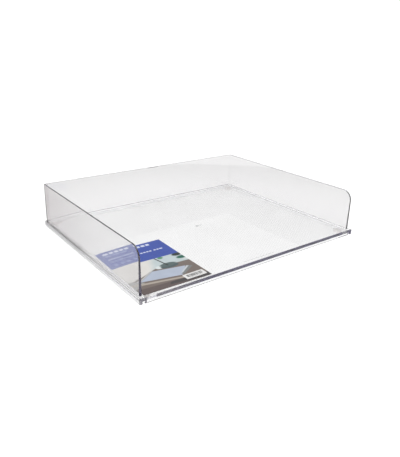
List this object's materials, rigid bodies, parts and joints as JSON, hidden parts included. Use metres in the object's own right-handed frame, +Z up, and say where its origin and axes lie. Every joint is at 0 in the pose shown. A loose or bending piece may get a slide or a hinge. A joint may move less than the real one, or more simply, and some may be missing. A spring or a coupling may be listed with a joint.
{
  "type": "letter tray",
  "caption": "Clear stackable desk tray for loose sheets, landscape, open at the front, with a wall on three sides, bumper feet and a printed insert card.",
  "frame": {"origin": "on the surface the feet stand on, under the middle of the tray's outline", "axes": "+Z up, +Y from the open front to the rear wall, +X to the right as seen from the front"},
  "size_m": [0.33, 0.26, 0.06],
  "materials": {
    "clear_base": "clear polished polystyrene",
    "clear_wall": "clear polished polystyrene",
    "clear_foot": "clear soft polyurethane",
    "card_print": "coated printed card",
    "label_print": "matt white sticker with printed bars"
  },
  "bodies": {
    "root": {"tray_base": "clear_base", "wall_surround": "clear_wall", "foot_front_left": "clear_foot", "foot_front_right": "clear_foot", "foot_rear_left": "clear_foot", "foot_rear_right": "clear_foot", "insert_card": "card_print", "barcode_label": "label_print"}
  },
  "joints": []
}
